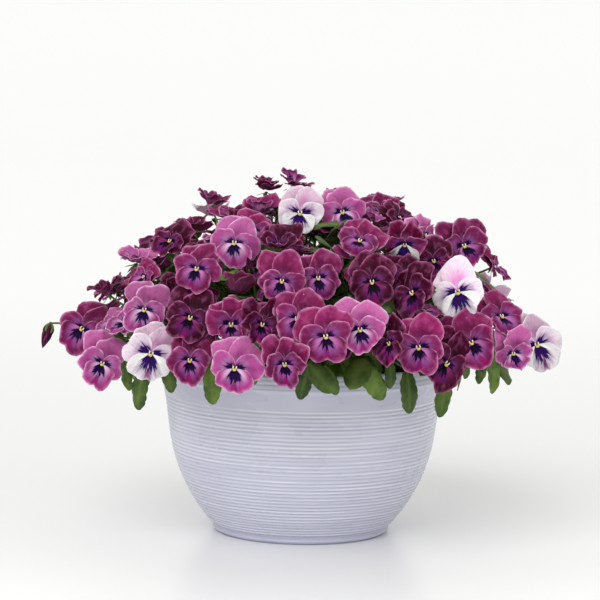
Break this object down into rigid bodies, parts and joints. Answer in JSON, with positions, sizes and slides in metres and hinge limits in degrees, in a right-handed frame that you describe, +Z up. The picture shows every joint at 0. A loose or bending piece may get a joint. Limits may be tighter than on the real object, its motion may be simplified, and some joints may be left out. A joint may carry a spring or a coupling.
{
  "type": "potted pansy planter",
  "caption": "Round turned bowl planter filled with soil and a dense mound of pansies in bloom, with leafy stems hanging over the rim.",
  "frame": {"origin": "middle of the flat underside of the pot's foot", "axes": "+Z up along the pot's axis, -Y towards the front that the picture shows"},
  "size_m": [0.519, 0.5013, 0.3503],
  "materials": {
    "pot": "turned grooves, satin gloss",
    "soil": "coarse peat compost",
    "leaf": "soft green leaf",
    "petals_white": "velvety petal",
    "petals_lilac": "velvety petal",
    "petals_purple": "velvety petal",
    "petals_wine": "velvety petal"
  },
  "bodies": {
    "root": {"flower_spray_01": "petals_purple", "flower_spray_02": "petals_lilac", "flower_spray_03": "petals_white", "flower_spray_04": "petals_lilac", "flower_spray_05": "petals_purple", "flower_spray_06": "petals_wine", "flower_spray_07": "petals_purple", "flower_spray_08": "petals_purple", "flower_spray_09": "petals_wine", "flower_spray_10": "petals_purple", "flower_spray_11": "petals_lilac", "flower_spray_12": "petals_wine", "flower_spray_13": "petals_white", "flower_spray_14": "petals_wine", "flower_spray_15": "petals_lilac", "flower_spray_16": "petals_purple", "flower_spray_17": "petals_purple", "flower_spray_18": "petals_white", "flower_spray_19": "petals_wine", "flower_spray_20": "petals_lilac", "flower_spray_21": "petals_purple", "flower_spray_22": "petals_wine", "flower_spray_23": "petals_white", "flower_spray_24": "petals_purple", "flower_spray_25": "petals_white", "flower_spray_26": "petals_lilac", "flower_spray_27": "petals_purple", "flower_spray_28": "petals_lilac", "flower_spray_29": "petals_purple", "flower_spray_30": "petals_purple", "flower_spray_31": "petals_lilac", "flower_spray_32": "petals_lilac", "flower_spray_33": "petals_wine", "flower_spray_34": "petals_lilac", "flower_spray_35": "petals_white", "flower_spray_36": "petals_wine", "flower_spray_37": "petals_lilac", "flower_spray_38": "petals_wine", "flower_spray_39": "petals_wine", "flower_spray_40": "petals_lilac", "flower_spray_41": "petals_wine", "flower_spray_42": "petals_lilac", "flower_spray_43": "petals_purple", "flower_spray_44": "petals_lilac", "leafy_stem_01": "leaf", "leafy_stem_02": "leaf", "leafy_stem_03": "leaf", "leafy_stem_04": "leaf", "leafy_stem_05": "leaf", "leafy_stem_06": "leaf", "leafy_stem_07": "leaf", "leafy_stem_08": "leaf", "leafy_stem_09": "leaf", "leafy_stem_10": "leaf", "leafy_stem_11": "leaf", "planter": "pot", "potting_soil": "soil"}
  },
  "joints": []
}
